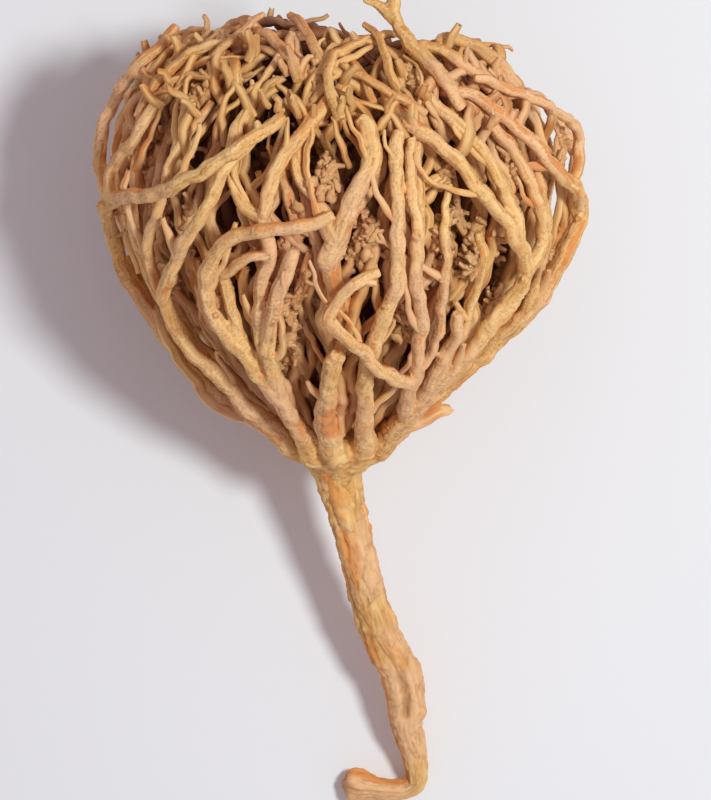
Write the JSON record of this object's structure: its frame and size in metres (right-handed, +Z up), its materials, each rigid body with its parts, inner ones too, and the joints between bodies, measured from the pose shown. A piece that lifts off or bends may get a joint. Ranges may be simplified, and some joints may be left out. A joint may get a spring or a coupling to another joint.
{
  "type": "rose of jericho",
  "caption": "Dry rose of Jericho lying on its side: woody limbs curled up from a crown into a closed ball, with small seed pods inside and a bent tap root.",
  "frame": {"origin": "centre of the bounding box in X and Y, on the surface that the plant lies on", "axes": "+Y from the tip of the root to the top of the ball, +Z up from the surface, +X to the right of the side that shows"},
  "size_m": [0.0748, 0.1262, 0.0648],
  "materials": {
    "limb_bark": "dry, matt, lengthwise ribbed bark",
    "inner_wood": "dry, matt, darker",
    "twig_bark": "dry, matt, brittle twig",
    "pod_shell": "dry, matt, papery",
    "root_bark": "dry, matt, peeling root bark"
  },
  "bodies": {
    "root": {"tap_root": "root_bark", "crown": "root_bark", "limb_left_edge": "limb_bark", "limb_left": "limb_bark", "limb_left_front": "limb_bark", "limb_centre": "limb_bark", "limb_right_front": "limb_bark", "limb_right": "limb_bark", "limb_right_edge": "limb_bark", "limb_back_1": "limb_bark", "limb_back_2": "limb_bark", "limb_back_3": "limb_bark", "limb_back_4": "limb_bark", "inner_limb_1": "inner_wood", "inner_limb_2": "inner_wood", "inner_limb_3": "inner_wood", "inner_limb_4": "inner_wood", "inner_limb_5": "inner_wood", "inner_limb_6": "inner_wood", "inner_limb_7": "inner_wood", "inner_limb_core": "inner_wood", "top_twig_tall": "twig_bark", "top_twig_1": "twig_bark", "top_twig_2": "twig_bark", "top_twig_3": "twig_bark", "top_twig_4": "twig_bark", "top_twig_5": "twig_bark", "top_twig_6": "twig_bark", "top_twig_7": "twig_bark", "top_twig_8": "twig_bark", "top_twig_9": "twig_bark", "top_twig_10": "twig_bark", "top_twig_11": "twig_bark", "closing_twig_1": "twig_bark", "closing_twig_2": "twig_bark", "closing_twig_3": "twig_bark", "closing_twig_4": "twig_bark", "closing_twig_5": "twig_bark", "closing_twig_6": "twig_bark", "closing_twig_7": "twig_bark", "closing_twig_8": "twig_bark", "seed_pod_1": "pod_shell", "seed_pod_2": "pod_shell", "seed_pod_3": "pod_shell", "seed_pod_4": "pod_shell", "seed_pod_5": "pod_shell", "seed_pod_6": "pod_shell", "seed_pod_7": "pod_shell", "seed_pod_8": "pod_shell", "seed_pod_9": "pod_shell", "seed_pod_10": "pod_shell", "seed_pod_11": "pod_shell", "seed_pod_12": "pod_shell"}
  },
  "joints": []
}
